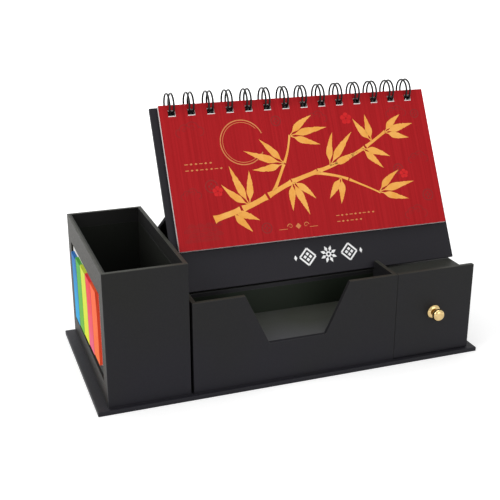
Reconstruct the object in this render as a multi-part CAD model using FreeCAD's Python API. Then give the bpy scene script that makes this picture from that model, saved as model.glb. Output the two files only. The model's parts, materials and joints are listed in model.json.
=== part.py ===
"""Desk calendar stand with a pen box, a note tray, a drawer and a folding easel.

Frame: millimetres, +X to the right, +Y to the back, +Z up.
The origin is the centre of the base board's underside.
The boxes are paper-wrapped greyboard panels that are glued face to face.
"""
import FreeCAD, Part
import math
import os

from FreeCAD import Vector

# ---------------------------------------------------------------- driving dimensions
# base board
base_length = 287.5
base_thickness = 3.0
front_margin = 3.4
left_margin = 7.75
right_margin = 6.15

# greyboard thicknesses
wall = 3.0
drawer_wall = 2.0
floor_wall = 2.0

# clearances
slide_gap = 0.3
drawer_side_gap = 0.4
fold_gap = 0.3
easel_side_gap = 0.5

# pen box
pen_width = 57.0
box_depth = 131.4
pen_height = 95.5
pen_frame_layer = 1.75
pen_groove = 1.9

# flag window in the pen box's left side, with its margins to the box's front, back and foot
window_front = 12.3
window_back = 12.1
window_foot = 14.3
window_height = 63.0
# page flags from front to back: colour, how far the pad's foot is raised, and its gap to the window's top
flag_pads = [("orange", 4.5, 0.6), ("pink", 3.1, 1.2), ("yellow", 1.9, 2.0), ("green", 0.9, 3.0), ("blue", 0.0, 5.2)]
flag_front_gap = 8.0
flag_back_gap = 3.5
flag_foot = 17.7
flag_thickness = 2.1
flag_seam = 0.2
card_thickness = 0.4
card_margin = 0.5

# tray, deck and drawer case
front_height = 66.8
deck_height = 59.7
drawer_front_width = 62.3
tray_depth = 29.0
tray_floor_front = 28.3
tray_floor_back = 38.0
notch_top_width = 77.7
notch_bottom_width = 42.4
notch_sill = 29.3

# drawer
drawer_back_gap = 7.4
drawer_height = 48.0
knob_flange_radius = 5.25
knob_neck_radius = 2.0
knob_head_radius = 4.6
knob_reach = 9.2
# heights on the knob, as shares of its reach from the drawer front
knob_rim_share = 0.07
knob_dome_share = 0.2
knob_flange_share = 0.24
knob_neck_share = 0.42
knob_bulge_share = 0.7
screw_thread_share = 0.34
# the knob's flat tip, as a share of its head's radius
knob_flat_share = 0.45
screw_radius = 1.45
screw_fit = 0.05
screw_head_radius = 3.2
screw_head_height = 1.8
screw_slot_width = 0.7
screw_slot_depth = 0.7
washer_radius = 4.6
washer_thickness = 0.8

# easel
board_thickness = 3.0
board_height = 133.0
board_lean = 28.3
board_right_overhang = 1.8
board_seat_back = 33.8
apex_height = 53.0
hinge_offset = 0.3
flap_thickness = 2.5
flap_hinge_inset = 1.0
flap_end_gap = 0.5
tape_width = 14.0
tape_thickness = 0.25
tape_inset = 3.0

# calendar
leaf_height = 105.0
leaf_thickness = 0.25
leaf_pitch = 0.3
leaf_count = 13
leaf_left_inset = 5.5
leaf_right_inset = 2.4
leaf_above_board = 0.0
ring_radius = 8.1
wire_radius = 0.65
seam_wire_radius = 0.5
ring_rise = 1.1
ring_pairs = 14
ring_end_inset = 11.4
ring_row_offset = -2.2
ring_spacing = 3.3
ring_seam_angle = 326.0
hole_side_gap = 0.35
leaf_hole_height = 4.2
board_hole_height = 2.9

# small roundings of the wrapped edges
edge_radius = 0.5

# how far a cutting tool runs past the face it cuts
cut_past = 1.0

# ---------------------------------------------------------------- derived places
base_left = -base_length / 2
base_depth = box_depth + front_margin
back = base_depth / 2
front = back - box_depth
base_top = base_thickness

pen_left = base_left + left_margin
pen_right = pen_left + pen_width
pen_top = base_top + pen_height

case_right = base_length / 2 - right_margin
drawer_front_left = case_right - drawer_front_width
case_left = pen_right + pen_groove
tray_right = drawer_front_left - slide_gap
front_top = base_top + front_height
deck_top = base_top + deck_height
deck_under = deck_top - wall
front_inner = front + wall
tray_back = front_inner + tray_depth
rear_inner = back - wall
drawer_depth = rear_inner - drawer_back_gap - front_inner

window_length = box_depth - window_front - window_back
flag_width = (window_length - flag_front_gap - flag_back_gap) / len(flag_pads)

board_left = pen_right + easel_side_gap
board_right = case_right + board_right_overhang
board_width = board_right - board_left
seat = Vector(0, front + board_seat_back, deck_top + fold_gap)
# the raised sides beside the tray end just before the board's foot and stop it
stop_back = seat.y - board_thickness * math.cos(math.radians(board_lean)) - fold_gap

leaf_right = board_right - leaf_right_inset
leaf_left = board_left + leaf_left_inset
leaf_top = board_height + leaf_above_board
ring_axis_height = leaf_top + ring_rise
leaf_width = leaf_right - leaf_left
ring_pitch = (leaf_width - 2 * ring_end_inset) / (ring_pairs - 1)
ring_first = leaf_left + ring_end_inset + ring_row_offset
ring_hole_width = ring_spacing + 2 * (wire_radius + hole_side_gap)


# ---------------------------------------------------------------- helpers
def block(x0, x1, y0, y1, z0, z1):
    """A box from its low and high limits."""
    return Part.makeBox(x1 - x0, y1 - y0, z1 - z0, Vector(x0, y0, z0))


def lies_on(edge, axis, value):
    """True where the whole edge lies in the plane axis = value."""
    box = edge.BoundBox
    low, high = getattr(box, axis + "Min"), getattr(box, axis + "Max")
    return abs(low - value) < 1e-4 and abs(high - value) < 1e-4


def soften(shape, radius, **planes):
    """Round each edge in which two of the named planes meet, such as Y=(front,)."""
    named = [(axis, value) for axis, values in planes.items() for value in values]
    edges = [edge for edge in shape.Edges if sum(lies_on(edge, a, v) for a, v in named) >= 2]
    return shape.makeFillet(radius, edges)


def side_prism(x0, x1, outline):
    """A prism along X from an outline of (y, z) points."""
    points = [Vector(x0, y, z) for y, z in outline]
    face = Part.Face(Part.makePolygon(points + points[:1]))
    return face.extrude(Vector(x1 - x0, 0, 0))


def front_prism(y0, y1, outline):
    """A prism along Y from an outline of (x, z) points."""
    points = [Vector(x, y0, z) for x, z in outline]
    face = Part.Face(Part.makePolygon(points + points[:1]))
    return face.extrude(Vector(0, y1 - y0, 0))


def on_board(shape):
    """Place a shape drawn upright on the easel board: its back foot is at the origin."""
    placed = shape.copy()
    placed.rotate(Vector(0, 0, 0), Vector(1, 0, 0), -board_lean)
    placed.translate(seat)
    return placed


def board_point(away, up):
    """The place of a point behind the board's back face and up its slope."""
    lean = math.radians(board_lean)
    return seat + Vector(0, away * math.cos(lean) + up * math.sin(lean),
                         up * math.cos(lean) - away * math.sin(lean))


def ring_centres():
    """The X of each double loop's middle, from left to right."""
    return [ring_first + ring_pitch * i for i in range(ring_pairs)]


# ---------------------------------------------------------------- base and pen box
def base_board():
    slab = block(base_left, -base_left, -base_depth / 2, back, 0, base_top)
    return soften(slab, edge_radius, X=(base_left, -base_left), Y=(-base_depth / 2, back), Z=(base_top,))


def pen_front_panel():
    panel = block(pen_left, pen_right, front, front_inner, base_top, pen_top)
    return soften(panel, edge_radius, X=(pen_left, pen_right), Y=(front,), Z=(pen_top,))


def pen_back_panel():
    panel = block(pen_left, pen_right, rear_inner, back, base_top, pen_top)
    return soften(panel, edge_radius, X=(pen_left, pen_right), Y=(back,), Z=(pen_top,))


def pen_right_panel():
    panel = block(pen_right - wall, pen_right, front_inner, rear_inner, base_top, pen_top)
    return soften(panel, edge_radius, X=(pen_right,), Z=(pen_top,))


def window_box(depth0, depth1, grow=0.0):
    """The flag window's outline as a block between two depths from the left face."""
    return block(pen_left + depth0, pen_left + depth1,
                 front + window_front - grow, back - window_back + grow,
                 base_top + window_foot - grow, base_top + window_foot + window_height + grow)


def pen_left_frame():
    panel = block(pen_left, pen_left + pen_frame_layer, front_inner, rear_inner, base_top, pen_top)
    panel = soften(panel, edge_radius, X=(pen_left,), Z=(pen_top,))
    return panel.cut(window_box(-cut_past, pen_frame_layer + cut_past))


def pen_left_liner():
    return block(pen_left + pen_frame_layer, pen_left + wall, front_inner, rear_inner, base_top, pen_top)


def pen_floor_panel():
    return block(pen_left + wall, pen_right - wall, front_inner, rear_inner,
                 base_top, base_top + floor_wall)


def flag_backing_card():
    return window_box(pen_frame_layer - card_thickness, pen_frame_layer, -card_margin)


def flag_pad(place, lift, top_gap):
    """One pad of page flags; place counts from the front."""
    x1 = pen_left + pen_frame_layer - card_thickness
    y0 = front + window_front + flag_front_gap + flag_width * place
    z0 = base_top + flag_foot + lift
    z1 = base_top + window_foot + window_height - top_gap
    return block(x1 - flag_thickness, x1, y0, y0 + flag_width - flag_seam, z0, z1)


# ---------------------------------------------------------------- tray, deck, drawer case
def stepped_side(x0, x1):
    """A side panel that is high beside the tray, where it stops the board, and low under the deck."""
    return side_prism(x0, x1, [(front_inner, base_top), (rear_inner, base_top), (rear_inner, deck_under),
                               (tray_back, deck_under), (tray_back, deck_top), (stop_back, deck_top),
                               (stop_back, front_top), (front_inner, front_top)])


def tray_front_panel():
    centre = (case_left + tray_right) / 2
    top, foot = notch_top_width / 2, notch_bottom_width / 2
    sill = base_top + notch_sill
    outline = [(case_left, base_top), (tray_right, base_top), (tray_right, front_top),
               (centre + top, front_top), (centre + foot, sill), (centre - foot, sill),
               (centre - top, front_top), (case_left, front_top)]
    panel = front_prism(front, front_inner, outline)
    return soften(panel, edge_radius, X=(case_left,), Y=(front,), Z=(front_top, sill))


def tray_left_panel():
    return stepped_side(case_left, case_left + wall)


def case_left_panel():
    return stepped_side(tray_right - wall, tray_right)


def case_right_panel():
    return block(case_right - wall, case_right, front_inner + slide_gap, rear_inner, base_top, deck_under)


def tray_back_panel():
    return block(case_left + wall, tray_right - wall, tray_back, tray_back + wall, base_top, deck_under)


def tray_floor_panel():
    low, high = base_top + tray_floor_front, base_top + tray_floor_back
    outline = [(front_inner, low), (tray_back, high), (tray_back, high - floor_wall),
               (front_inner, low - floor_wall)]
    return side_prism(case_left + wall, tray_right - wall, outline)


def rear_panel():
    panel = block(case_left, case_right, rear_inner, back, base_top, deck_under)
    return soften(panel, edge_radius, X=(case_left, case_right), Y=(back,))


def deck_panel():
    """The top board behind the tray, with a tab that runs forward over the drawer."""
    main = block(case_left, case_right, tray_back, back, deck_under, deck_top)
    tab = block(tray_right, case_right, front_inner + slide_gap, tray_back, deck_under, deck_top)
    deck = main.fuse(tab).removeSplitter()
    return soften(deck, edge_radius, X=(case_left, case_right), Y=(back, tray_back), Z=(deck_top,))


# ---------------------------------------------------------------- drawer
drawer_left = tray_right + drawer_side_gap
drawer_right = case_right - wall - drawer_side_gap
drawer_foot = base_top + slide_gap
drawer_back_y = front_inner + drawer_depth
knob_centre = Vector((drawer_front_left + case_right) / 2, front, (drawer_foot + front_top) / 2)


def along_y(y0, y1, radius):
    """A cylinder on the knob's axis between two depths."""
    start = Vector(knob_centre.x, y0, knob_centre.z)
    return Part.makeCylinder(radius, y1 - y0, start, Vector(0, 1, 0))


def drawer_front_panel():
    panel = block(drawer_front_left, case_right, front, front_inner, drawer_foot, front_top)
    panel = soften(panel, edge_radius, X=(drawer_front_left, case_right), Y=(front,),
                   Z=(drawer_foot, front_top))
    return panel.cut(along_y(front - cut_past, front_inner + cut_past, screw_radius + screw_fit))


def drawer_side(x0):
    return block(x0, x0 + drawer_wall, front_inner, drawer_back_y, drawer_foot, drawer_foot + drawer_height)


def drawer_back_panel():
    return block(drawer_left + drawer_wall, drawer_right - drawer_wall, drawer_back_y - drawer_wall,
                 drawer_back_y, drawer_foot, drawer_foot + drawer_height)


def drawer_bottom_panel():
    return block(drawer_left + drawer_wall, drawer_right - drawer_wall, front_inner,
                 drawer_back_y - drawer_wall, drawer_foot, drawer_foot + floor_wall)


def drawer_knob():
    """A turned knob: domed flange, neck and rounded head, drawn as radius against reach."""
    def at(radius, reach):
        return Vector(knob_centre.x + radius, front - reach, knob_centre.z)

    rim, neck, head, tip = knob_flange_radius, knob_neck_radius, knob_head_radius, knob_reach
    rim_top, dome, flange_top = knob_rim_share * tip, knob_dome_share * tip, knob_flange_share * tip
    head_foot, bulge, flat = knob_neck_share * tip, knob_bulge_share * tip, knob_flat_share * head
    edges = [
        Part.LineSegment(at(0, 0), at(rim, 0)),
        Part.LineSegment(at(rim, 0), at(rim, rim_top)),
        Part.Arc(at(rim, rim_top), at((rim + neck) / 2, dome), at(neck, flange_top)),
        Part.LineSegment(at(neck, flange_top), at(neck, head_foot)),
        Part.Arc(at(neck, head_foot), at(head, bulge), at(flat, tip)),
        Part.LineSegment(at(flat, tip), at(0, tip)),
        Part.LineSegment(at(0, tip), at(0, 0)),
    ]
    outline = Part.Wire([edge.toShape() for edge in edges])
    knob = Part.Face(outline).revolve(knob_centre, Vector(0, 1, 0), 360)
    return knob.cut(along_y(front - head_foot, front + cut_past, screw_radius + screw_fit))


def washer_face():
    """The depth of the washer's inner face, where the screw's head bears."""
    return front_inner + washer_thickness


def knob_washer():
    ring = along_y(front_inner, washer_face(), washer_radius)
    return ring.cut(along_y(front_inner - cut_past, washer_face() + cut_past, screw_radius + screw_fit))


def knob_screw():
    thread = screw_thread_share * knob_reach
    head_top = washer_face() + screw_head_height
    shank = along_y(front - thread, washer_face() + screw_head_height / 2, screw_radius)
    head = along_y(washer_face(), head_top, screw_head_radius)
    slot = block(knob_centre.x - screw_head_radius, knob_centre.x + screw_head_radius,
                 head_top - screw_slot_depth, head_top + cut_past,
                 knob_centre.z - screw_slot_width / 2, knob_centre.z + screw_slot_width / 2)
    return shank.fuse(head).removeSplitter().cut(slot)


# ---------------------------------------------------------------- easel
def hole_row(y0, y1, z_middle, height):
    """The punched holes of the double loops, as blocks between two depths."""
    return [block(x - ring_hole_width / 2, x + ring_hole_width / 2, y0, y1,
                  z_middle - height / 2, z_middle + height / 2) for x in ring_centres()]


def wire_height(depth):
    """How high the wire crosses a plane that lies depth in front of the board's front face."""
    return ring_axis_height - math.sqrt(ring_radius ** 2 - depth ** 2)


def calendar_board():
    board = block(board_left, board_right, -board_thickness, 0, 0, board_height)
    board = soften(board, edge_radius, X=(board_left, board_right), Y=(-board_thickness, 0),
                   Z=(0, board_height))
    middle = (wire_height(0) + wire_height(board_thickness)) / 2
    holes = hole_row(-board_thickness - cut_past, cut_past, middle, board_hole_height)
    return on_board(board.cut(holes))


apex = board_point(hinge_offset, apex_height)
flap_root = Vector(0, back - flap_hinge_inset, deck_top + hinge_offset)


def rear_flap():
    """The strut: its under face runs from the deck's rear hinge to the board's hinge."""
    reach = (apex - flap_root).Length
    slope = math.degrees(math.atan2(apex.z - flap_root.z, flap_root.y - apex.y))
    near, far = -reach + flap_end_gap, -flap_end_gap
    panel = block(board_left, board_right, near, far, 0, flap_thickness)
    panel = soften(panel, edge_radius, X=(board_left, board_right), Y=(near, far), Z=(0, flap_thickness))
    panel.rotate(Vector(0, 0, 0), Vector(1, 0, 0), -slope)
    panel.translate(flap_root)
    return panel


def board_hinge_tape():
    tape = block(board_left + tape_inset, board_right - tape_inset, 0, tape_thickness,
                 apex_height - tape_width, apex_height)
    return on_board(tape)


def flap_hinge_tape():
    return block(case_left + tape_inset, case_right - tape_inset, back, back + tape_thickness,
                 deck_top - tape_width, deck_top)


def wire_binding():
    """Closed loops on one axis, joined at the back by the wire's straight seam."""
    seam = math.radians(ring_seam_angle)
    seam_y = -board_thickness - ring_radius * math.sin(seam)
    seam_z = ring_axis_height - ring_radius * math.cos(seam)
    starts = [x + side * ring_spacing / 2 for x in ring_centres() for side in (-1, 1)]
    loops = [Part.makeTorus(ring_radius, wire_radius, Vector(x, -board_thickness, ring_axis_height),
                            Vector(1, 0, 0)) for x in starts]
    bar = Part.makeCylinder(seam_wire_radius, starts[-1] - starts[0],
                            Vector(starts[0], seam_y, seam_z), Vector(1, 0, 0))
    return on_board(bar.multiFuse(loops))


def leaf(place):
    """One calendar leaf; place counts from the back of the stack."""
    y1 = -board_thickness - leaf_pitch * (place + 1) + leaf_thickness
    y0 = y1 - leaf_thickness
    sheet = block(leaf_left, leaf_right, y0, y1, leaf_top - leaf_height, leaf_top)
    middle = (wire_height(0) + wire_height(leaf_pitch * leaf_count)) / 2
    return on_board(sheet.cut(hole_row(y0 - cut_past, y1 + cut_past, middle, leaf_hole_height)))


# ---------------------------------------------------------------- all pieces
def all_parts():
    parts = {
        "base_board": base_board(),
        "pen_front_panel": pen_front_panel(),
        "pen_back_panel": pen_back_panel(),
        "pen_right_panel": pen_right_panel(),
        "pen_left_frame": pen_left_frame(),
        "pen_left_liner": pen_left_liner(),
        "pen_floor_panel": pen_floor_panel(),
        "flag_backing_card": flag_backing_card(),
        "tray_front_panel": tray_front_panel(),
        "tray_left_panel": tray_left_panel(),
        "tray_back_panel": tray_back_panel(),
        "tray_floor_panel": tray_floor_panel(),
        "case_left_panel": case_left_panel(),
        "case_right_panel": case_right_panel(),
        "rear_panel": rear_panel(),
        "deck_panel": deck_panel(),
        "drawer_front_panel": drawer_front_panel(),
        "drawer_left_side": drawer_side(drawer_left),
        "drawer_right_side": drawer_side(drawer_right - drawer_wall),
        "drawer_back_panel": drawer_back_panel(),
        "drawer_bottom_panel": drawer_bottom_panel(),
        "drawer_knob": drawer_knob(),
        "knob_washer": knob_washer(),
        "knob_screw": knob_screw(),
        "calendar_board": calendar_board(),
        "rear_flap": rear_flap(),
        "board_hinge_tape": board_hinge_tape(),
        "flap_hinge_tape": flap_hinge_tape(),
        "wire_binding": wire_binding(),
        "cover_leaf": leaf(leaf_count - 1),
    }
    for place, (colour, lift, top_gap) in enumerate(flag_pads):
        parts["flag_pad_" + colour] = flag_pad(place, lift, top_gap)
    for month in range(1, leaf_count):
        parts["month_leaf_%02d" % month] = leaf(leaf_count - 1 - month)
    return parts


os.makedirs("parts", exist_ok=True)
for name, shape in all_parts().items():
    shape.exportStep("parts/" + name + ".step")
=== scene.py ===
"""Looks of the desk calendar stand: wraps, linings, leaves, prints, wire, flags, light, camera."""
import json
import math
import random
import bpy
from mathutils import Matrix, Vector


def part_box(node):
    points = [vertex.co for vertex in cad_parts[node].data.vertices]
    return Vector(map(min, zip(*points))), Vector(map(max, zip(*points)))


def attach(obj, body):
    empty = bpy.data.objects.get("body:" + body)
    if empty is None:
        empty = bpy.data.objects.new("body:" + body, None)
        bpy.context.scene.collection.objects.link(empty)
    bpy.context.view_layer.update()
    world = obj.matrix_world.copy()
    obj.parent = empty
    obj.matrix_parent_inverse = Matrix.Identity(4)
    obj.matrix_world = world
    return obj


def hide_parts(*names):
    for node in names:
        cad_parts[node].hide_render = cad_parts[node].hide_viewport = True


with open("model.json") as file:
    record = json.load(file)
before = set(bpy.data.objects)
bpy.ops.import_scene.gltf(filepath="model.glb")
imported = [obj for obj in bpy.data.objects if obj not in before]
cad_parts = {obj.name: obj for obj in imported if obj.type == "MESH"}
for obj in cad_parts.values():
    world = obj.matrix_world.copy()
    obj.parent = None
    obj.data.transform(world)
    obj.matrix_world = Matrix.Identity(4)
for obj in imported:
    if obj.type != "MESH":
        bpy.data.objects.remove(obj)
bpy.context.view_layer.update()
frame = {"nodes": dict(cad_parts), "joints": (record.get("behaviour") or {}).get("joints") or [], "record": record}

scene = bpy.context.scene
scene.view_settings.view_transform = "Standard"
MM = 0.001
X, Y, Z = range(3)
LOW, HIGH = range(2)

# ---------------------------------------------------------------- sizes as in the CAD part, in mm
BOARD_LEAN = 28.3  # degrees
BOARD_SEAT = (0.0, -30.2, 63.0)
BOARD_THICK = 3.0
BOARD_X = (-78.5, 139.4)
APEX_HEIGHT = 53.0
FLAP_THICK = 2.5
LEAF_X = (-73.0, 137.0)
LEAF_TOP = 133.0
LEAF_TALL = 105.0
LEAF_FOOT = LEAF_TOP - LEAF_TALL
LEAF_PITCH = 0.3
LEAF_COUNT = 13
# leaves are counted from the rear
COVER = LEAF_COUNT - 1
FIRST_MONTH = COVER - 1
RING_AXIS = 134.1
RING_RADIUS = 8.1
RING_PITCH = 14.4
RING_FIRST = -63.8
RING_PAIRS = 14
RING_CENTRES = [RING_FIRST + RING_PITCH * i for i in range(RING_PAIRS)]
ROW_CENTRE = (29.8, 126.5)

# ---------------------------------------------------------------- sizes for the photo alone, in mm
# these differ from the CAD part, whose own value follows each
LEAF_THICK = 0.28  # 0.25
RING_SPACING = 3.05  # 3.3
WIRE_RADIUS = 0.72  # 0.65
HOLE_WIDE = 5.5  # 5.3
HOLE_Z = (124.4, 129.2)  # 124.4 to 128.6
# the stack leans in the play of its holes: the rearmost leaf hangs to the right of the cover
LEAF_SHEAR = 0.35
LEAF_STRAY = 0.05
# the lower edge of the first month leaf's holes is higher, so its white paper shows in the cover's
WHITE_IN_HOLE = 0.7
# the calendar hangs a little askew in the play of its holes: degrees clockwise, and mm down
WIRES_ASKEW = (0.3, 0.1)
LEAVES_ASKEW = (0.3, 0.3)
# the flags' films end below the top of the pad's place, so the white card shows over them
FILM_SHORT = 1.0
# the flags' card is dark from its foot up to this height
CARD_BAND_TOP = 24.5

ON_BOARD = (Matrix.Translation(Vector(BOARD_SEAT) * MM)
            @ Matrix.Rotation(-math.radians(BOARD_LEAN), 4, "X"))


def askew(tilt, drop):
    """The board's frame, turned about the middle of the row of holes and moved down the board."""
    middle = Vector((ROW_CENTRE[0], 0, ROW_CENTRE[1])) * MM
    return (ON_BOARD @ Matrix.Translation(middle - Vector((0, 0, drop * MM)))
            @ Matrix.Rotation(math.radians(tilt), 4, "Y") @ Matrix.Translation(-middle))


ON_WIRES = askew(*WIRES_ASKEW)
ON_LEAVES = askew(*LEAVES_ASKEW)


# ---------------------------------------------------------------- materials, with places in metres
# the wrap is rubbed where a bevelled normal departs from the face's own
EDGE_BEVEL = 0.0005
EDGE_WHOLE, EDGE_RUBBED = 0.995, 0.86
# painted sheen: faces that look up are drawn lighter, coming in between two heights
SHEEN_HEIGHT = (0.045, 0.075)
SHEEN_FACING = (0.7, 0.95)
# roughness strays this far to both sides of its mean
GLOSS_STRAY = 0.06
# the darker tone of a pale paper's fibres, as a share of the paler one
FIBRE_SHADE = 0.93
BAND_BLUR = 0.0001
# a film's tint changes between two heights, and again along its front edge
FILM_HEIGHT = (0.024, 0.076)
FILM_RIM = (0.0002, 0.0022)


def linear(written, gain=1.0):
    """A linear colour from a written one such as 2f2f2f."""
    channels = [int(written[i:i + 2], 16) / 255 for i in (0, 2, 4)]
    return [gain * (c / 12.92 if c <= 0.04045 else ((c + 0.055) / 1.055) ** 2.4)
            for c in channels] + [1.0]


class Surface:
    """A node material with short calls for the nodes it uses."""

    def __init__(self, name, roughness, **sockets):
        self.mat = bpy.data.materials.new(name)
        self.mat.use_nodes = True
        self.tree = self.mat.node_tree
        self.shader = self.tree.nodes["Principled BSDF"]
        self.shader.inputs["Roughness"].default_value = roughness
        for socket, value in sockets.items():
            self.shader.inputs[socket.replace("_", " ")].default_value = value
        self.place = self.tree.nodes.new("ShaderNodeTexCoord").outputs["Object"]

    def add(self, kind, values=(), **settings):
        node = self.tree.nodes.new("ShaderNode" + kind)
        for key, value in settings.items():
            setattr(node, key, value)
        for key, value in dict(values).items():
            if isinstance(value, bpy.types.NodeSocket):
                self.tree.links.new(value, node.inputs[key])
            else:
                node.inputs[key].default_value = value
        return node

    def mapped(self, stretch=(1, 1, 1), turn=0.0):
        return self.add("Mapping", {"Vector": self.place, "Scale": stretch,
                                    "Rotation": (math.radians(turn), 0, 0)}).outputs[0]

    def noise(self, scale, detail=3.0, stretch=(1, 1, 1), turn=0.0, roughness=0.55):
        return self.add("TexNoise", {"Vector": self.mapped(stretch, turn), "Scale": scale,
                                     "Detail": detail, "Roughness": roughness}).outputs["Fac"]

    def fit(self, value, low, high, to_low=0.0, to_high=1.0):
        return self.add("MapRange", {"Value": value, "From Min": low, "From Max": high,
                                     "To Min": to_low, "To Max": to_high}).outputs["Result"]

    def mix(self, fac, a, b):
        return self.add("Mix", {0: fac, 6: a, 7: b}, data_type="RGBA").outputs[2]

    def maths(self, operation, a, b=0.0):
        return self.add("Math", {0: a, 1: b}, operation=operation).outputs[0]

    def part_of(self, vector, axis):
        return self.add("SeparateXYZ", {0: vector}).outputs[axis]

    def along(self, axis, turn=0.0):
        return self.part_of(self.mapped(turn=turn), axis)

    def bump(self, height, strength, distance, under=None):
        values = {"Height": height, "Strength": strength, "Distance": distance}
        if under:
            values["Normal"] = under
        return self.add("Bump", values).outputs["Normal"]

    def set(self, socket, source):
        self.tree.links.new(source, self.shader.inputs[socket])

    def set_gloss(self, noise, roughness):
        """Roughness that follows a noise to both sides of its mean."""
        self.set("Roughness", self.fit(noise, 0.3, 0.7, roughness - GLOSS_STRAY,
                                       roughness + GLOSS_STRAY))


def paper_wrap(name, high, low, worn, roughness=0.5, specular=0.15, reach=(0.0, 0.1), turn=0.0,
               painted_sheen=None):
    """Smooth matt paper over greyboard: a tint up its reach, a fine tooth, edges rubbed lighter.

    Where a painted sheen colour is given, faces that look up near the top take it: a painted highlight.
    """
    s = Surface(name, roughness, Specular_IOR_Level=specular)
    cloudy = s.fit(s.noise(14, 2, turn=turn), 0.3, 0.7, -0.3, 0.3)
    tint = s.maths("ADD", s.fit(s.along(Z, turn), *reach), cloudy)
    fleck = s.noise(900, 4, turn=turn)
    colour = s.mix(tint, linear(low), linear(high))
    colour = s.mix(s.fit(fleck, 0.45, 0.75, 0, 0.1), colour, linear(worn))
    # painted sheen: up-facing faces near the top take a lighter colour, a painted highlight
    if painted_sheen:
        raised = s.fit(s.part_of(s.place, Z), *SHEEN_HEIGHT)
        level = s.fit(s.part_of(s.add("TexCoord").outputs["Normal"], Z), *SHEEN_FACING)
        colour = s.mix(s.maths("MULTIPLY", raised, level), colour, linear(painted_sheen))
    edge = s.add("Bevel", {"Radius": EDGE_BEVEL}, samples=4).outputs[0]
    flat = s.add("NewGeometry").outputs["Normal"]
    alike = s.add("VectorMath", {0: edge, 1: flat}, operation="DOT_PRODUCT").outputs["Value"]
    uneven = s.fit(s.noise(150, 3), 0.35, 0.65, 0.3, 0.95)
    rubbed = s.maths("MULTIPLY", s.fit(alike, EDGE_WHOLE, EDGE_RUBBED), uneven)
    tooth = s.bump(s.noise(2600, 2, turn=turn), 0.12, 0.00004)
    s.set("Base Color", s.mix(rubbed, colour, linear(worn)))
    s.set_gloss(fleck, roughness)
    s.set("Normal", s.bump(s.noise(45, 2, turn=turn), 0.05, 0.0008, tooth))
    return s.mat


def bare_paper(name, base, roughness=0.75, stretch=(0.5, 0.5, 1.6), foot_band=None):
    """Uncoated paper or card: fibre mottle, a soft tooth, and a printed band along its foot."""
    s = Surface(name, roughness, Specular_IOR_Level=0.2)
    fibre = s.noise(900, 4, stretch=stretch)
    colour = s.mix(s.fit(fibre, 0.35, 0.7), linear(base, FIBRE_SHADE), linear(base))
    if foot_band:
        top = CARD_BAND_TOP * MM
        colour = s.mix(s.fit(s.along(Z), top - BAND_BLUR, top), linear(foot_band), colour)
    s.set("Base Color", colour)
    s.set("Normal", s.bump(fibre, 0.15, 0.00005))
    return s.mat


def book_cloth(name, base):
    """Woven cloth tape of a hinge."""
    s = Surface(name, 0.85, Specular_IOR_Level=0.15)
    threads = [s.add("TexWave", {"Vector": s.place, "Scale": 420.0, "Distortion": 0.6},
                     bands_direction=way).outputs["Fac"] for way in "XZ"]
    weave = s.maths("MAXIMUM", *threads)
    s.set("Base Color", s.mix(s.fit(weave, 0.4, 1.0), linear(base), linear(base, 2.2)))
    s.set("Normal", s.bump(weave, 0.4, 0.0001))
    return s.mat


def cover_print(name, roughness=0.5):
    """Red print with the faint upright streaks of raw silk."""
    s = Surface(name, roughness, Specular_IOR_Level=0.1)
    streak = s.noise(700, 3, stretch=(1, 0.008, 0.008), turn=BOARD_LEAN, roughness=0.65)
    slub = s.noise(1100, 3, stretch=(1, 0.03, 0.03), turn=BOARD_LEAN)
    broad = s.noise(20, 2, stretch=(1, 0.6, 0.6), turn=BOARD_LEAN)
    colour = s.mix(s.fit(streak, 0.35, 0.66), linear("a01319"), linear("b11b21"))
    colour = s.mix(s.fit(slub, 0.58, 0.8, 0, 0.35), colour, linear("ba2f30"))
    colour = s.mix(s.fit(broad, 0.35, 0.7, 0, 0.2), colour, linear("ad1c1f"))
    s.set("Base Color", colour)
    s.set_gloss(s.noise(700, 3), roughness)
    s.set("Normal", s.bump(streak, 0.03, 0.00004))
    return s.mat


def ink(name, base, lighter, roughness=0.5):
    """Printed ink: a soft mottle in tone and gloss."""
    s = Surface(name, roughness, Specular_IOR_Level=0.2)
    mottle = s.fit(s.noise(110, 3), 0.35, 0.65)
    s.set("Base Color", s.mix(mottle, linear(base), linear(lighter)))
    s.set_gloss(s.noise(900, 2), roughness)
    return s.mat


def flag_film(name, foot, top, side, colour, edge=0.3):
    """Tinted film: its tint changes with height, and it is darker at its cut sides and front edge.

    It has a slight ripple; edge is how much of the side's colour the front edge takes.
    """
    s = Surface(name, 0.55, Specular_IOR_Level=0.06)
    cloudy = s.fit(s.noise(90, 2), 0.3, 0.7, -0.12, 0.12)
    up = s.maths("ADD", s.fit(s.along(Z), *FILM_HEIGHT), cloudy)
    across = s.part_of(s.add("NewGeometry").outputs["Normal"], Y)
    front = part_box("flag_pad_" + colour)[0].y
    rim = s.fit(s.along(Y), front + FILM_RIM[0], front + FILM_RIM[1], edge, 0.0)
    cut = s.maths("MAXIMUM", s.fit(s.maths("ABSOLUTE", across), 0.4, 0.8), rim)
    s.set("Base Color", s.mix(cut, s.mix(up, linear(foot), linear(top)), linear(side)))
    s.set_gloss(s.noise(500, 2), 0.56)
    s.set("Normal", s.bump(s.noise(60, 2, stretch=(1, 1, 0.3)), 0.2, 0.0005))
    return s.mat


def metal(name, base, roughness, brushed=0.0):
    """Bare metal with soft wear; brushed draws the wear out across the y axis."""
    s = Surface(name, roughness, Metallic=1.0)
    wear = s.noise(260, 4, stretch=(1, 1 + brushed, 1))
    s.set("Base Color", s.mix(s.fit(wear, 0.35, 0.7), linear(base, 0.82), linear(base)))
    s.set("Roughness", s.fit(wear, 0.3, 0.75, roughness * 0.7, roughness * 1.4))
    s.set("Normal", s.bump(wear, 0.03, 0.00004))
    return s.mat


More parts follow.
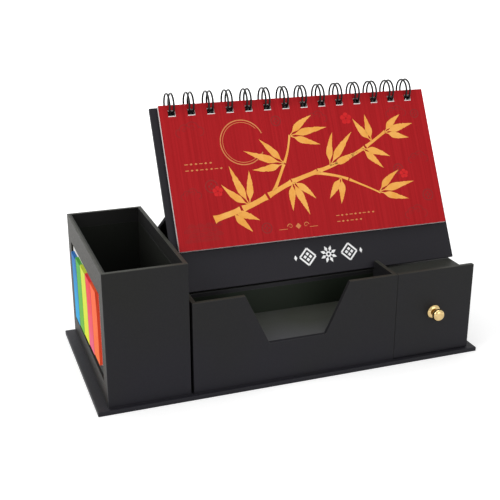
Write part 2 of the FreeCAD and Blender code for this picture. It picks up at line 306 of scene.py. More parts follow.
def coated_wire(name):
    """Black lacquer over wire, with a fine orange peel."""
    s = Surface(name, 0.28, Specular_IOR_Level=0.22)
    peel = s.noise(700, 3)
    s.set("Base Color", s.mix(s.fit(peel, 0.4, 0.7), linear("050504"), linear("0f0f0c")))
    s.set("Normal", s.bump(peel, 0.08, 0.00008))
    return s.mat


LOOKS = {
    # the wrap's last colour is a painted sheen that lightens up-facing faces near the top
    "black_wrap": paper_wrap("black_wrap_paper", "20201f", "212026", "3e3f3b", painted_sheen="31322c"),
    "black_liner": paper_wrap("black_liner_paper", "1c1e1a", "1a1a19", "2c2d29", roughness=0.6,
                              specular=0.12),
    "board_wrap": paper_wrap("board_wrap_paper", "1e1d22", "1d1b21", "3a383d", turn=BOARD_LEAN),
    "hinge_cloth": book_cloth("hinge_book_cloth", "101010"),
    "white_card": bare_paper("white_backing_card", "f2f1ec", roughness=0.6, stretch=(1, 1, 1),
                             foot_band="1b1b1c"),
    "leaf_paper": bare_paper("leaf_white_paper", "fbf3f1"),
    "cover_print": cover_print("cover_red_print"),
    "brass": metal("knob_brass", "d9bd86", 0.1),
    "steel": metal("zinc_steel", "a8a9aa", 0.35, brushed=3.0),
    "black_wire": coated_wire("black_coated_wire"),
    "flag_orange": flag_film("flag_orange_film", "ff7a3c", "ff6a3c", "ff5a3c", "orange"),
    "flag_pink": flag_film("flag_pink_film", "f2668a", "f23a40", "d9405a", "pink"),
    "flag_yellow": flag_film("flag_yellow_film", "e8f034", "d8e64a", "a9c22c", "yellow"),
    "flag_green": flag_film("flag_green_film", "70bc3c", "58b44a", "2f8d30", "green"),
    "flag_blue": flag_film("flag_blue_film", "30b4ee", "2a72bc", "143c6a", "blue", edge=0.85),
}
# panels with a look of their own: painted shade on the tray floor, painted light on the pen box's left side, and a
# green tint of its own on the tray back
OWN_LOOKS = {
    # painted shade: the tray floor is lighter low at its front and darker higher up towards its back, where the
    # board shades it
    "tray_floor_panel": paper_wrap("tray_floor_painted_shade_paper", "33352f", "47474a", "4a4a48",
                                   reach=(0.030, 0.0375)),
    "tray_back_panel": paper_wrap("tray_back_paper", "1d231b", "1f241d", "262b24", specular=0.1),
    # painted light: the pen box's left side is lighter than the other wraps, most at its top, and its painted
    # sheen is lighter too
    "pen_left_frame": paper_wrap("pen_side_painted_light_paper", "2b2923", "211f1f", "42423c", painted_sheen="35352f"),
}
slots = {row["node"]: row["material_slot"] for row in frame["record"]["subparts"]}
for node, obj in frame["nodes"].items():
    obj.data.materials.clear()
    obj.data.materials.append(OWN_LOOKS.get(node, LOOKS[slots[node]]))
gold_ink = ink("cover_gold_ink", "f0a646", "f8b65c")
pale_gold_ink = ink("cover_pale_gold_ink", "cf7d47", "d98c54")
tone_ink = ink("cover_tone_ink", "8d1a1e", "93211f")
seal_ink = ink("cover_seal_ink", "cc161b", "d61d20")
white_ink = ink("board_white_ink", "f6f6f6", "ffffff")
grey_ink = ink("leaf_grey_ink", "3c3c3e", "454547", roughness=0.6)
red_ink = ink("leaf_red_ink", "b3262a", "ba2f30", roughness=0.6)


# ---------------------------------------------------------------- mesh helpers
def make(name, body, verts, faces, mats, indices=None, replaces=(), place=None):
    """A flat-shaded piece from mm points, placed by an optional matrix, that rides on a body."""
    mesh = bpy.data.meshes.new(name)
    mesh.from_pydata([Vector(v) * MM for v in verts], [], faces)
    for mat in mats:
        mesh.materials.append(mat)
    if indices:
        mesh.polygons.foreach_set("material_index", indices)
    if place:
        mesh.transform(place)
    mesh.validate()
    mesh.polygons.foreach_set("use_smooth", [False] * len(mesh.polygons))
    obj = bpy.data.objects.new(name, mesh)
    scene.collection.objects.link(obj)
    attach(obj, body)
    if replaces:
        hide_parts(*replaces)


def gather(shapes):
    """Several (verts, faces) as one."""
    verts, faces = [], []
    for v, f in shapes:
        faces += [tuple(i + len(verts) for i in face) for face in f]
        verts += v
    return verts, faces


def slab(front, thickness, columns, rows, solid=lambda i, j: True):
    """A sheet of front points in rows, given a thickness towards +y; cells not solid are left out.

    The third result is each face's material: 0 on the front, 1 on the back and the edges.
    """
    n = len(front)
    verts = front + [(x, y + thickness, z) for x, y, z in front]
    cells = {(i, j) for j in range(rows - 1) for i in range(columns - 1) if solid(i, j)}
    faces, index = [], []
    for i, j in sorted(cells):
        a, b = j * columns + i, j * columns + i + 1
        c, d = b + columns, a + columns
        faces += [(a, b, c, d), (a + n, d + n, c + n, b + n)]
        index += [0, 1]
        sides = (((i, j - 1), a, b), ((i + 1, j), b, c), ((i, j + 1), c, d), ((i - 1, j), d, a))
        for near, p, q in sides:
            if near not in cells:
                faces.append((p, p + n, q + n, q))
                index.append(1)
    return verts, faces, index


# ---------------------------------------------------------------- calendar leaves
LEAF_ROWS = 12
# how far each leaf lifts off the one behind it at its foot, and how that varies along x
FOOT_LIFT = 0.045
LONG_WAVE, LONG_SWING, WAVE_DRIFT = 31.0, 0.35, 0.05
SHORT_WAVE, SHORT_SWING = 12.0, 0.2


def page_y(x, z, leaf):
    """The y of a leaf's front on the board. Leaves lift a little towards their foot."""
    flat = -BOARD_THICK - LEAF_PITCH * (leaf + 1)
    down = (LEAF_TOP - z) / LEAF_TALL
    wave = (1 + LONG_SWING * math.sin(x / LONG_WAVE + leaf * WAVE_DRIFT)
            + SHORT_SWING * math.sin(x / SHORT_WAVE))
    return flat - FOOT_LIFT * leaf * down ** 2 * wave


def punched_leaf(name, body, leaf, node, look):
    """A thin sheet with the row of holes, its front in a look and its back and edges plain."""
    stray = random.Random(leaf).uniform(-LEAF_STRAY, LEAF_STRAY)
    slip = LEAF_SHEAR * (1 - leaf / COVER) + stray
    holes = [(x - HOLE_WIDE / 2, x + HOLE_WIDE / 2) for x in RING_CENTRES]
    between = [(a[1] + b[0]) / 2 for a, b in zip(holes, holes[1:])]
    xs = sorted([x + slip for x in LEAF_X] + [x for pair in holes for x in pair] + between)
    sill = HOLE_Z[0] + (WHITE_IN_HOLE if leaf == FIRST_MONTH else 0.0)
    zs = [LEAF_FOOT + (sill - LEAF_FOOT) * i / LEAF_ROWS for i in range(LEAF_ROWS + 1)]
    zs += [HOLE_Z[1], LEAF_TOP]

    def solid(i, j):
        middle = (xs[i] + xs[i + 1]) / 2
        return j != LEAF_ROWS or not any(a < middle < b for a, b in holes)

    front = [(x, page_y(x, z, leaf), z) for z in zs for x in xs]
    verts, faces, index = slab(front, LEAF_THICK, len(xs), len(zs), solid)
    make(name, body, verts, faces, [LOOKS[look], LOOKS["leaf_paper"]], index,
         replaces=(node,), place=ON_LEAVES)


punched_leaf("cover_sheet", "cover", COVER, "cover_leaf", "cover_print")
for month in range(1, LEAF_COUNT):
    punched_leaf("month_sheet_%02d" % month, "month_%02d" % month, COVER - month,
                 "month_leaf_%02d" % month, "leaf_paper")


# ---------------------------------------------------------------- wire binding
# where a finger starts and where its loop ends, as angles round the ring
SEAM_ANGLE, TIP_ANGLE = 318.0, -28.0
# a finger's corner with its seam run is cut off in two steps
CORNER, CORNER_BITE = 0.8, 0.3
FINGER_STEPS, TIP_STEPS = 40, 8


def binding():
    """One wire: hairpin fingers round the ring, joined behind the board by short straight runs."""
    half = RING_SPACING / 2
    per_mm = math.degrees(1 / RING_RADIUS)
    turn_angle = half * per_mm
    start = SEAM_ANGLE - CORNER * per_mm
    span = start - (TIP_ANGLE + turn_angle)

    def finger(x, side):
        """Points as (x, angle) from the seam to the loop's tip."""
        edge = x + side * half
        corner = [(edge + side * CORNER, SEAM_ANGLE),
                  (edge + side * CORNER * CORNER_BITE,
                   SEAM_ANGLE - CORNER * CORNER_BITE * per_mm)]
        return corner + [(edge, start - span * i / FINGER_STEPS) for i in range(FINGER_STEPS + 1)]

    track = []
    for x in RING_CENTRES:
        tip = [(x - half * math.cos(math.pi * i / TIP_STEPS),
                TIP_ANGLE + turn_angle - turn_angle * math.sin(math.pi * i / TIP_STEPS))
               for i in range(1, TIP_STEPS)]
        track += finger(x, -1) + tip + finger(x, 1)[::-1]
    curve = bpy.data.curves.new("wire_loops", "CURVE")
    curve.dimensions, curve.bevel_depth, curve.bevel_resolution = "3D", WIRE_RADIUS * MM, 3
    curve.use_fill_caps = True
    spline = curve.splines.new("POLY")
    spline.points.add(len(track) - 1)
    for point, (x, angle) in zip(spline.points, track):
        a = math.radians(angle)
        at = Vector((x, -BOARD_THICK - RING_RADIUS * math.sin(a),
                     RING_AXIS - RING_RADIUS * math.cos(a))) * MM
        point.co = (*(ON_WIRES @ at), 1.0)
    spline.use_smooth = True
    curve.materials.append(LOOKS["black_wire"])
    obj = bpy.data.objects.new("wire_loops", curve)
    scene.collection.objects.link(obj)
    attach(obj, "board")
    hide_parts("wire_binding")


binding()

# ---------------------------------------------------------------- flat shapes for prints
# a curl shrinks by this share of its radius and of its thickness
CURL_SHRINK, CURL_TAPER, CURL_STEPS = 0.86, 0.75, 26
# places along a brushed leaf, as shares of its length
STALK_END, BELLY_GROWS, BELLY_PEAK, TIP_DRY = 0.08, 0.3, 0.4, 0.55
BRUSH_STEPS, BRUSH_TAPER, STALK_WIDE, TIP_WIDE = 26, 1.4, 0.7, 0.1


def stroke(line, widths):
    """A flat stroke as (points, faces); line is (u, v) points and widths one per point."""
    verts, faces = [], []
    for i, (u, v) in enumerate(line):
        a, b = line[max(i - 1, 0)], line[min(i + 1, len(line) - 1)]
        du, dv = b[0] - a[0], b[1] - a[1]
        size = math.hypot(du, dv) or 1.0
        w = widths[i] / 2
        verts += [(u - dv / size * w, v + du / size * w), (u + dv / size * w, v - du / size * w)]
        if i:
            k = 2 * i
            faces.append((k - 2, k - 1, k + 1, k))
    return verts, faces


def swept(points, steps):
    """A smooth line through the points (Catmull-Rom)."""
    full = [points[0]] + list(points) + [points[-1]]
    line = []
    for p0, p1, p2, p3 in zip(full, full[1:], full[2:], full[3:]):
        for i in range(steps):
            t = i / steps
            line.append(tuple(0.5 * (2 * b + (c - a) * t + (2 * a - 5 * b + 4 * c - d) * t * t
                                     + (3 * b - 3 * c + d - a) * t ** 3)
                              for a, b, c, d in zip(p0, p1, p2, p3)))
    return line + [points[-1]]


def ring(u, v, radius, thick, start=0.0, end=360.0, count=48):
    turns = [math.radians(start + (end - start) * i / count) for i in range(count + 1)]
    line = [(u + radius * math.cos(a), v + radius * math.sin(a)) for a in turns]
    return stroke(line, [thick] * len(line))


def disc(u, v, radius, count=16):
    turns = [2 * math.pi * i / count for i in range(count)]
    return [(u + radius * math.cos(a), v + radius * math.sin(a)) for a in turns], [
        tuple(range(count))]


def diamond(u, v, wide, tall):
    return [(u - wide / 2, v), (u, v - tall / 2), (u + wide / 2, v), (u, v + tall / 2)], [
        (0, 1, 2, 3)]


def bar(u0, u1, v, thick):
    return stroke([(u0, v), (u1, v)], [thick, thick])


def curl(u, v, radius, turns, start, sign, thick):
    """A spiral from its outside to its eye."""
    count = int(CURL_STEPS * turns)
    line, widths = [], []
    for i in range(count + 1):
        t = i / count
        r = radius * (1 - CURL_SHRINK * t)
        a = math.radians(start) + sign * 2 * math.pi * turns * t
        line.append((u + r * math.cos(a), v + r * math.sin(a)))
        widths.append(thick * (1 - CURL_TAPER * t))
    return stroke(line, widths)


def leaf_stroke(u, v, length, aim, wide, bend=0.0, seed=0):
    """A bamboo leaf in one brush stroke: a thin stalk, a full belly and a long dry tip."""
    rng = random.Random(seed)
    line, widths = [], []
    for i in range(BRUSH_STEPS + 1):
        t = i / BRUSH_STEPS
        a = math.radians(aim + bend * (t - 0.3))
        step = length / BRUSH_STEPS
        line.append((u, v))
        u, v = u + step * math.cos(a), v + step * math.sin(a)
        swell = min(1.0, max(0.0, t - STALK_END) / BELLY_GROWS)
        shrink = max(0.0, (t - BELLY_PEAK) / (1 - BELLY_PEAK)) ** BRUSH_TAPER
        belly = swell * swell * (3 - 2 * swell) * (1 - shrink)
        rough = rng.uniform(0.86, 1.1) if t > TIP_DRY else rng.uniform(0.97, 1.03)
        widths.append(max(wide * belly * rough, STALK_WIDE if t < 0.3 else TIP_WIDE))
    return stroke(line, widths)


def on_leaf(name, body, leaf, shapes, mat, lift):
    """Flat shapes lifted off a leaf's front by an ink's thickness, from its lower left corner."""
    flat, faces = gather(shapes)
    verts = [(LEAF_X[0] + u, page_y(LEAF_X[0] + u, LEAF_FOOT + v, leaf) - lift, LEAF_FOOT + v)
             for u, v in flat]
    make(name, body, verts, faces, [mat], place=ON_LEAVES)


# ---------------------------------------------------------------- the cover's print
# one culm and two side shoots, each as points with its thickness at the ends
CULMS = [(((28, 20), (58, 28), (92, 42), (124, 51), (150, 61), (173, 74)), 5.0, 2.2),
         (((76, 36), (84, 50), (91, 64), (95, 77)), 2.8, 1.4),
         (((110, 47), (130, 42), (147, 34), (160, 27)), 2.6, 1.2)]
CULM_STEPS, JOINT_SPACING, JOINT_GAP = 40, 23.0, 0.35
# leaf clusters: place, aim of the middle leaf, reach of the longest leaf, number of leaves
CLUSTERS = [(56, 28, 112, 30, 3), (42, 24, -34, 22, 2), (95, 76, 10, 29, 3),
            (87, 56, 160, 30, 3), (91, 42, -68, 26, 3), (123, 51, 50, 31, 3),
            (130, 42, -112, 21, 2), (159, 28, 12, 29, 3), (151, 62, -32, 24, 2),
            (172, 73, 14, 24, 3), (160, 67, 112, 23, 2)]
# degrees between a cluster's leaves, and their thickness
SPREAD, LEAF_WIDE = 31, 5.6
# lines of dots and dashes: the start, and how many
DASH_LINES = ((14, 61, 6), (14, 56.5, 8), (122, 13.5, 9), (122, 9, 6))
DASH_PITCH = 3.6
FRET = (90, 9)
MOON = (58, 74)
# a cloud's arcs: the centre, radius, and angles of both ends
PUFFS = ((-6.5, 0, 2.6, 80, 270), (-3.0, 2.0, 3.4, 30, 190), (2.2, 2.8, 4.2, 0, 165),
         (6.8, 0.4, 2.9, -90, 95))
CLOUDS = ((20, 84, 1.1), (184, 87, 0.9), (118, 87, 0.9), (196, 50, 0.9), (14, 38, 0.8),
          (186, 8, 1.0))
MEDALLIONS = ((30, 44, 4.4), (199, 22, 4.2), (178, 44, 3.8), (86, 88, 3.6), (200, 86, 3.2),
              (66, 10, 3.6))
BLOSSOMS = ((142, 86, 2.7), (34, 40, 2.3), (182, 40, 2.1))
# rows of scallops: the first one's place, the distances between them, and their rings
SCALLOPS, SCALLOP_WIDE, SCALLOP_TALL, SCALLOP_RINGS = (8, 5), 6.4, 3.4, (3.0, 2.0, 1.0)


def culm(points, thick, end):
    """A jointed stalk: brushed segments that flare at their joints, with a gap at each joint."""
    line = swept(points, CULM_STEPS)
    travelled = [0.0]
    for a, b in zip(line, line[1:]):
        travelled.append(travelled[-1] + math.dist(a, b))
    whole = travelled[-1]
    parts, count = [], max(2, round(whole / JOINT_SPACING))
    for k in range(count):
        low, high = whole * k / count + JOINT_GAP, whole * (k + 1) / count - JOINT_GAP
        piece, widths = [], []
        for spot, s in zip(line, travelled):
            if low <= s <= high:
                t = (s - low) / (high - low)
                flare = 0.85 + 0.4 * abs(2 * t - 1) ** 5
                piece.append(spot)
                widths.append((thick + (end - thick) * s / whole) * flare)
        if len(piece) > 1:
            parts.append(stroke(piece, widths))
    return parts


def cover_bamboo():
    shapes = [part for points, thick, end in CULMS for part in culm(points, thick, end)]
    for k, (u, v, aim, reach, count) in enumerate(CLUSTERS):
        for i in range(count):
            side = i - (count - 1) / 2
            length = reach * (1 - 0.16 * abs(side) + 0.05 * (i % 2))
            shapes.append(leaf_stroke(u, v, length, aim + SPREAD * side,
                                      LEAF_WIDE - 0.5 * abs(side), bend=-16 * side - 8,
                                      seed=10 * k + i))
    return shapes


def cover_ornaments():
    """Fine lines of dots and dashes, and a small fret below the picture."""
    shapes = []
    for u, v, count in DASH_LINES:
        for k in range(count):
            at = u + DASH_PITCH * k
            shapes.append(diamond(at, v, 2.2, 1.5) if k % 3 else bar(at - 1.3, at + 1.3, v, 0.6))
    u, v = FRET
    for side in (-1, 1):
        shapes += [curl(u + side * 6.2, v + 0.4, 2.1, 1.2, 90 - side * 90, side, 0.55),
                   bar(u + side * 8.6, u + side * 15, v - 1.4, 0.4)]
    return shapes + [diamond(u, v, 4.4, 4.4)]


def cover_moon():
    """A thin broken ring behind the leaves."""
    return [ring(*MOON, 16.5, 0.8, 20, 330, 72), ring(*MOON, 14.8, 0.4, 40, 305, 72)]


def cloud(u, v, size):
    """Overlapping arcs that end in small curls."""
    shapes = [ring(u + a * size, v + b * size, r * size, 0.5, low, high, 18)
              for a, b, r, low, high in PUFFS]
    return shapes + [curl(u + 2.2 * size, v + 2.6 * size, 2.2 * size, 1.1, 165, -1, 0.45),
                     curl(u - 3.2 * size, v + 1.6 * size, 1.7 * size, 1.1, 20, 1, 0.4)]


def cover_tone():
    """Tone on tone: rows of scallops at the lower left, clouds, and scattered medallions."""
    shapes = []
    for row in range(4):
        for k in range(4):
            u = SCALLOPS[0] + SCALLOP_WIDE * k + SCALLOP_WIDE / 2 * (row % 2)
            v = SCALLOPS[1] + SCALLOP_TALL * row
            shapes += [ring(u, v, r, 0.35, 12, 168, 16) for r in SCALLOP_RINGS]
    for place in CLOUDS:
        shapes += cloud(*place)
    for u, v, r in MEDALLIONS:
        shapes.append(ring(u, v, r, 0.9))
        for k in range(4):
            a = k * math.pi / 2
            shapes.append(diamond(u + r * 0.4 * math.cos(a), v + r * 0.4 * math.sin(a),
                                  r * 0.5, r * 0.5))
    return shapes


def cover_seals():
    """Small bright red blossoms of five petals."""
    shapes = []
    for u, v, r in BLOSSOMS:
        for k in range(5):
            a = math.radians(90 + 72 * k)
            shapes.append(disc(u + r * math.cos(a), v + r * math.sin(a), r * 0.72))
    return shapes


# each print lies a little over the one before it
for name, shapes, mat, lift in (("cover_tone_print", cover_tone(), tone_ink, 0.015),
                                ("cover_gold_moon", cover_moon(), pale_gold_ink, 0.02),
                                ("cover_red_blossoms", cover_seals(), seal_ink, 0.025),
                                ("cover_gold_bamboo", cover_bamboo(), gold_ink, 0.03),
                                ("cover_fine_ornaments", cover_ornaments(), pale_gold_ink, 0.03)):
    on_leaf(name, "cover", COVER, shapes, mat, lift)

# ---------------------------------------------------------------- the month leaves' print
DAYS = [31, 28, 31, 30, 31, 30, 31, 31, 30, 31, 30, 31]
WEEK = 7
GRID_LEFT, GRID_TOP, CELL_WIDE, CELL_TALL = 82.0, 82.0, 18.0, 13.0
DAY_SIZE, MONTH_SIZE, MONTH_PLACE = 8.0, 46.0, (40, 62)
RULE_X = (20, 60)
MONTH_LIFT = 0.012


def number(value, size):
    """A number's flat shape from Blender's own typeface, centred on (0, 0)."""
    text = bpy.data.curves.new("number", "FONT")
    text.body, text.size, text.resolution_u = str(value), size, 2
    text.align_x, text.align_y = "CENTER", "CENTER"
    holder = bpy.data.objects.new("number", text)
    scene.collection.objects.link(holder)
    bpy.context.view_layer.update()
    seen = holder.evaluated_get(bpy.context.evaluated_depsgraph_get())
    mesh = bpy.data.meshes.new_from_object(seen)
    shape = [(v.co.x, v.co.y) for v in mesh.vertices], [tuple(p.vertices) for p in mesh.polygons]
    bpy.data.objects.remove(holder)
    bpy.data.meshes.remove(mesh)
    return shape


def moved(shape, u, v):
    return [(a + u, b + v) for a, b in shape[0]], shape[1]


day_shapes = {day: number(day, DAY_SIZE) for day in range(1, max(DAYS) + 1)}
for month in range(1, LEAF_COUNT):
    red = [moved(number(month, MONTH_SIZE), *MONTH_PLACE), bar(*RULE_X, 34, 0.8)]
    black = []
    start = (month * 3) % WEEK
    for day in range(1, DAYS[month - 1] + 1):
        row, column = divmod(start + day - 1, WEEK)
        spot = moved(day_shapes[day], GRID_LEFT + CELL_WIDE * column, GRID_TOP - CELL_TALL * row)
        (red if column in (0, WEEK - 1) else black).append(spot)
    black += [bar(GRID_LEFT - 8, GRID_LEFT + 6 * CELL_WIDE + 8, GRID_TOP + 7.5, 0.5),
              bar(*RULE_X, 32, 0.3)]
    leaf, body = COVER - month, "month_%02d" % month
    on_leaf("month_numbers_%02d" % month, body, leaf, black, grey_ink, MONTH_LIFT)
    on_leaf("month_red_numbers_%02d" % month, body, leaf, red, red_ink, MONTH_LIFT)

# ---------------------------------------------------------------- the board's print
ORNAMENT_PLACE, ORNAMENT_LIFT = (38.0, 14.2), 0.04
# distances from the ornament's middle, and half a lozenge's width
LOZENGE_AT, LOZENGE_HALF, END_DOT_AT = 16.5, 6.2, 26.0


def frame_of(points, thick):
    """A closed outline with straight sides."""
    return [stroke([a, b], [thick, thick]) for a, b in zip(points, points[1:] + points[:1])]


def board_ornament():
    """White: an eight-petalled flower between two lozenge frames."""
    u, v = ORNAMENT_PLACE
    shapes = [ring(u, v, 1.5, 1.1, count=24)]
    for k in range(8):
        a = math.radians(22.5 + 45 * k)
        shapes.append(leaf_stroke(u + 2.2 * math.cos(a), v + 2.2 * math.sin(a), 4.4,
                                  math.degrees(a), 2.3, seed=k))
    for side in (-1, 1):
        mid = u + side * LOZENGE_AT
        shapes += frame_of([(mid - LOZENGE_HALF, v), (mid, v - LOZENGE_HALF),
                            (mid + LOZENGE_HALF, v), (mid, v + LOZENGE_HALF)], 1.3)
        shapes += [diamond(mid + a, v + b, 2.9, 2.9)
                   for a, b in ((-2.1, 0), (2.1, 0), (0, -2.1), (0, 2.1))]
        shapes += [diamond(u + side * END_DOT_AT, v, 2.4, 4.2)]
    return shapes


flat, faces = gather(board_ornament())
make("board_white_ornament", "board", [(x, -BOARD_THICK - ORNAMENT_LIFT, z) for x, z in flat],
     faces, [white_ink], place=ON_BOARD)

# ---------------------------------------------------------------- page flags
FILM_COUNT, FILM_ROWS, FILM_SIDE_GAP = 9, 14, 0.12
# the outer films lift from their card by this much, from this share of their height upwards
FILM_LIFTING, FILM_LIFT, FILM_BEND_FROM = 4, 0.35, 0.55


def flag_pad(colour):
    """A pad of thin films: each a little out of line, the outer ones lifting at their free end."""
    rng = random.Random(colour)
    low, high = (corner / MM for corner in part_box("flag_pad_" + colour))
    pitch = (high.x - low.x) / FILM_COUNT
    thick = pitch * 0.8
    shapes = []
    for k in range(FILM_COUNT):
        inner = high.x - pitch * k
        dy, dz = rng.uniform(-0.1, 0.1), rng.uniform(-0.35, 0.0)
        lift = FILM_LIFT * max(0.0, (k - FILM_COUNT + FILM_LIFTING) / 3) ** 2
        section = []
        for j in range(FILM_ROWS + 1):
            t = j / FILM_ROWS
            z = low.z + (high.z - FILM_SHORT + dz - low.z) * t
            out = lift * max(0.0, (t - FILM_BEND_FROM) / 0.45) ** 2
            for y in (low.y + FILM_SIDE_GAP + dy, high.y - FILM_SIDE_GAP + dy):
                section.append((inner - out, y, z))
        n = len(section)
        verts = section + [(x - thick, y, z) for x, y, z in section]
        faces = []
        for a in range(0, 2 * FILM_ROWS, 2):
            faces += [(a, a + 1, a + 3, a + 2), (a + n, a + 2 + n, a + 3 + n, a + 1 + n),
                      (a, a + 2, a + 2 + n, a + n), (a + 1, a + 1 + n, a + 3 + n, a + 3)]
        top = 2 * FILM_ROWS
        faces += [(0, n, n + 1, 1), (top, top + 1, top + 1 + n, top + n)]
        shapes.append((verts, faces))
    verts, faces = gather(shapes)
    make("flag_films_" + colour, "stand", verts, faces, [LOOKS["flag_" + colour]],
         replaces=("flag_pad_" + colour,))


for colour in ("orange", "pink", "yellow", "green", "blue"):
    flag_pad(colour)

# ---------------------------------------------------------------- linings
LINING_THICK, LINING_STEP, LINING_WAVER = 0.2, 6.0, 0.12
# how far below the rim each lining ends
PEN_TURN_IN, DRAWER_TURN_IN = 11.0, 7.0
SHEET_THICK, UNDERSIDE_THICK, SHEET_STEP, SHEET_WAVER = 0.15, 0.1, 12.0, 0.1
SHEET_MARGIN = 6.0
# the board's back sheet starts this far above the strut's hinge
APEX_GAP = 5


def lining(name, body, x0, x1, y0, y1, z0, z1):
    """A paper lining round the inside of a box, its top edge cut by hand a little out of line."""
    rng = random.Random(name)
    corners = [(x0, y0), (x1, y0), (x1, y1), (x0, y1)]
    rim = []
    for (ax, ay), (bx, by) in zip(corners, corners[1:] + corners[:1]):
        count = max(2, round(math.dist((ax, ay), (bx, by)) / LINING_STEP))
        rim += [(ax + (bx - ax) * i / count, ay + (by - ay) * i / count) for i in range(count)]

    def inward(value, low, high):
        if value <= low + LINING_THICK:
            return LINING_THICK
        return -LINING_THICK if value >= high - LINING_THICK else 0

    verts = []
    for x, y in rim:
        top = z1 + rng.uniform(-LINING_WAVER, LINING_WAVER)
        ix, iy = x + inward(x, x0, x1), y + inward(y, y0, y1)
        verts += [(x, y, z0), (x, y, top), (ix, iy, top), (ix, iy, z0)]
    faces = []
    for i in range(len(rim)):
        a, b = 4 * i, 4 * ((i + 1) % len(rim))
        faces += [(a + 1, a + 2, b + 2, b + 1), (a + 2, a + 3, b + 3, b + 2), (a, a + 1, b + 1, b)]
    make(name, body, verts, faces, [LOOKS["black_liner"]])


def face_at(node, axis, side):
    """The place in mm of a node's low or high face along an axis."""
    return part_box(node)[side][axis] / MM


lining("pen_box_lining", "stand",
       face_at("pen_left_liner", X, HIGH), face_at("pen_right_panel", X, LOW),
       face_at("pen_front_panel", Y, HIGH), face_at("pen_back_panel", Y, LOW),
       face_at("pen_floor_panel", Z, HIGH), face_at("pen_back_panel", Z, HIGH) - PEN_TURN_IN)
lining("drawer_lining", "drawer",
       face_at("drawer_left_side", X, HIGH), face_at("drawer_right_side", X, LOW),
       face_at("drawer_front_panel", Y, HIGH), face_at("drawer_back_panel", Y, LOW),
       face_at("drawer_bottom_panel", Z, HIGH),
       face_at("drawer_left_side", Z, HIGH) - DRAWER_TURN_IN)


def facing_sheet(name, body, x0, x1, z0, z1, place, thick=SHEET_THICK):
    """A thin sheet glued on a wrapped board, its front at y = -thick in the given place."""
    rng = random.Random(name)
    nx, nz = (max(2, round(length / SHEET_STEP)) for length in (x1 - x0, z1 - z0))
    front = []
    for j in range(nz + 1):
        for i in range(nx + 1):
            at_edge = j in (0, nz) or i in (0, nx)
            waver = rng.uniform(-SHEET_WAVER, SHEET_WAVER) if at_edge else 0.0
            front.append((x0 + (x1 - x0) * i / nx + waver, -thick,
                          z0 + (z1 - z0) * j / nz + waver))
    verts, faces, _ = slab(front, thick, nx + 1, nz + 1)
    make(name, body, verts, faces, [LOOKS["black_liner"]], place=place)


# seen from behind, the board's right edge is at the left
BACK_X = (-BOARD_X[1] + SHEET_MARGIN, -BOARD_X[0] - SHEET_MARGIN)
facing_sheet("board_back_sheet", "board", *BACK_X, APEX_HEIGHT + APEX_GAP,
             HOLE_Z[0] - SHEET_MARGIN, ON_BOARD @ Matrix.Rotation(math.pi, 4, "Z"))
hinges = {joint["name"]: Vector(joint["pos_m"]) for joint in frame["joints"] if "pos_m" in joint}
flap_line = hinges["easel_close"] - hinges["easel_lift"]
up_flap = flap_line.normalized()
off_flap = up_flap.cross(Vector((1, 0, 0)))
ON_FLAP = Matrix.Translation(hinges["easel_lift"] + off_flap * FLAP_THICK * MM) @ Matrix(
    (Vector((-1, 0, 0)), -off_flap, up_flap)).transposed().to_4x4()
facing_sheet("flap_back_sheet", "flap", *BACK_X, SHEET_MARGIN,
             flap_line.length / MM - SHEET_MARGIN, ON_FLAP)
base_low, base_high = (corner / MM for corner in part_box("base_board"))
facing_sheet("base_underside_sheet", "stand",
             base_low.x + SHEET_MARGIN, base_high.x - SHEET_MARGIN,
             -base_high.y + SHEET_MARGIN, -base_low.y - SHEET_MARGIN,
             Matrix.Rotation(math.pi / 2, 4, "X"), thick=UNDERSIDE_THICK)

# ---------------------------------------------------------------- floor, light, camera, in metres
FLOOR_HALF, FLOOR_Z = 8.0, -0.00015
# the floor's glow grows with the distance from the middle
GLOW_REACH = (0.25, 0.8)
FLOOR_GLOW_NEAR, FLOOR_GLOW_FAR = 0.42, 1.0
WORLD_LIGHT, WORLD_SEEN = 0.5, 1.0
WHITE = (1, 1, 1, 1)
# name, place, target, diameter, power in W
LAMPS = (("key_left", (-1.2, -0.3, 0.9), (0, 0, 0.08), 0.9, 6.6),
         ("top_soft", (0.0, 0.1, 1.5), (0, 0, 0.05), 1.2, 6.0),
         ("fill_front", (0.4, -1.6, 0.8), (0, 0, 0.08), 1.2, 6.0),
         ("sheen_back", (-0.5, 1.4, 0.6), (0, 0, 0.1), 1.0, 5.0))
# the camera fitted to the photograph
CAMERA_PLACE = (-0.2284, -0.5961, 0.3122)
CAMERA_TILT, CAMERA_YAW, CAMERA_LENS = 69.67, -19.81, 65.93


def seen_by_eye(tree):
    """1 for camera, glossy and transmission rays, and 0 for the rays that light things."""
    path = tree.nodes.new("ShaderNodeLightPath")
    found = path.outputs["Is Camera Ray"]
    for kind in ("Is Glossy Ray", "Is Transmission Ray"):
        either = tree.nodes.new("ShaderNodeMath")
        either.operation = "MAXIMUM"
        tree.links.new(found, either.inputs[0])
        tree.links.new(path.outputs[kind], either.inputs[1])
        found = either.outputs[0]
    return found


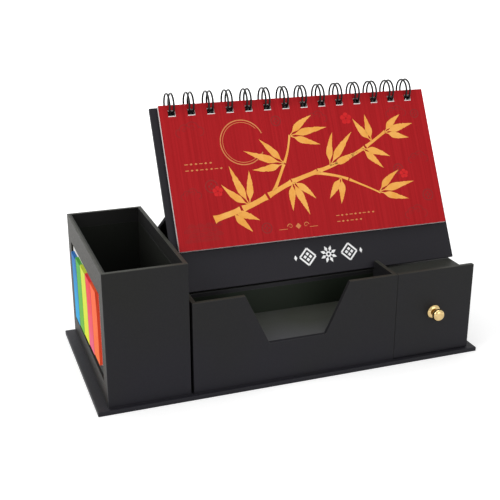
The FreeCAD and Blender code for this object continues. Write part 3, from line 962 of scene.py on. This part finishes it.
def stage():
    """A white floor that glows for the eye alone: less near the object, to keep its shadow."""
    half = FLOOR_HALF
    mesh = bpy.data.meshes.new("floor")
    mesh.from_pydata([(-half, -half, 0), (half, -half, 0), (half, half, 0), (-half, half, 0)], [],
                     [(0, 1, 2, 3)])
    floor = bpy.data.objects.new("floor", mesh)
    floor.location.z = FLOOR_Z
    scene.collection.objects.link(floor)
    s = Surface("pale_floor", 0.9, Specular_IOR_Level=0.05, Base_Color=(0.8, 0.8, 0.8, 1))
    away = s.add("VectorMath", {0: s.place}, operation="LENGTH").outputs["Value"]
    glow = s.fit(away, *GLOW_REACH, FLOOR_GLOW_NEAR, FLOOR_GLOW_FAR)
    s.shader.inputs["Emission Color"].default_value = WHITE
    s.set("Emission Strength", s.maths("MULTIPLY", seen_by_eye(s.tree), glow))
    mesh.materials.append(s.mat)


def studio():
    """A plain world that is white to the eye and lights the object less."""
    world = bpy.data.worlds.new("studio")
    scene.world = world
    world.use_nodes = True
    tree = world.node_tree
    sky = tree.nodes["Background"]
    sky.inputs["Color"].default_value = WHITE
    level = tree.nodes.new("ShaderNodeMapRange")
    level.inputs["To Min"].default_value = WORLD_LIGHT
    level.inputs["To Max"].default_value = WORLD_SEEN
    tree.links.new(seen_by_eye(tree), level.inputs["Value"])
    tree.links.new(level.outputs[0], sky.inputs["Strength"])


def lamp(name, location, target, size, power):
    data = bpy.data.lights.new(name, "AREA")
    data.shape, data.size, data.energy = "DISK", size, power
    obj = bpy.data.objects.new(name, data)
    obj.location = location
    aim = Vector(target) - Vector(location)
    obj.rotation_euler = aim.to_track_quat("-Z", "Y").to_euler()
    scene.collection.objects.link(obj)


stage()
studio()
for row in LAMPS:
    lamp(*row)

camera = bpy.data.cameras.new("camera")
camera.lens, camera.sensor_width = CAMERA_LENS, 36.0
camera.clip_start, camera.clip_end = 0.01, 20.0
view = bpy.data.objects.new("camera", camera)
view.location = CAMERA_PLACE
view.rotation_euler = (math.radians(CAMERA_TILT), 0.0, math.radians(CAMERA_YAW))
scene.collection.objects.link(view)
scene.camera = view
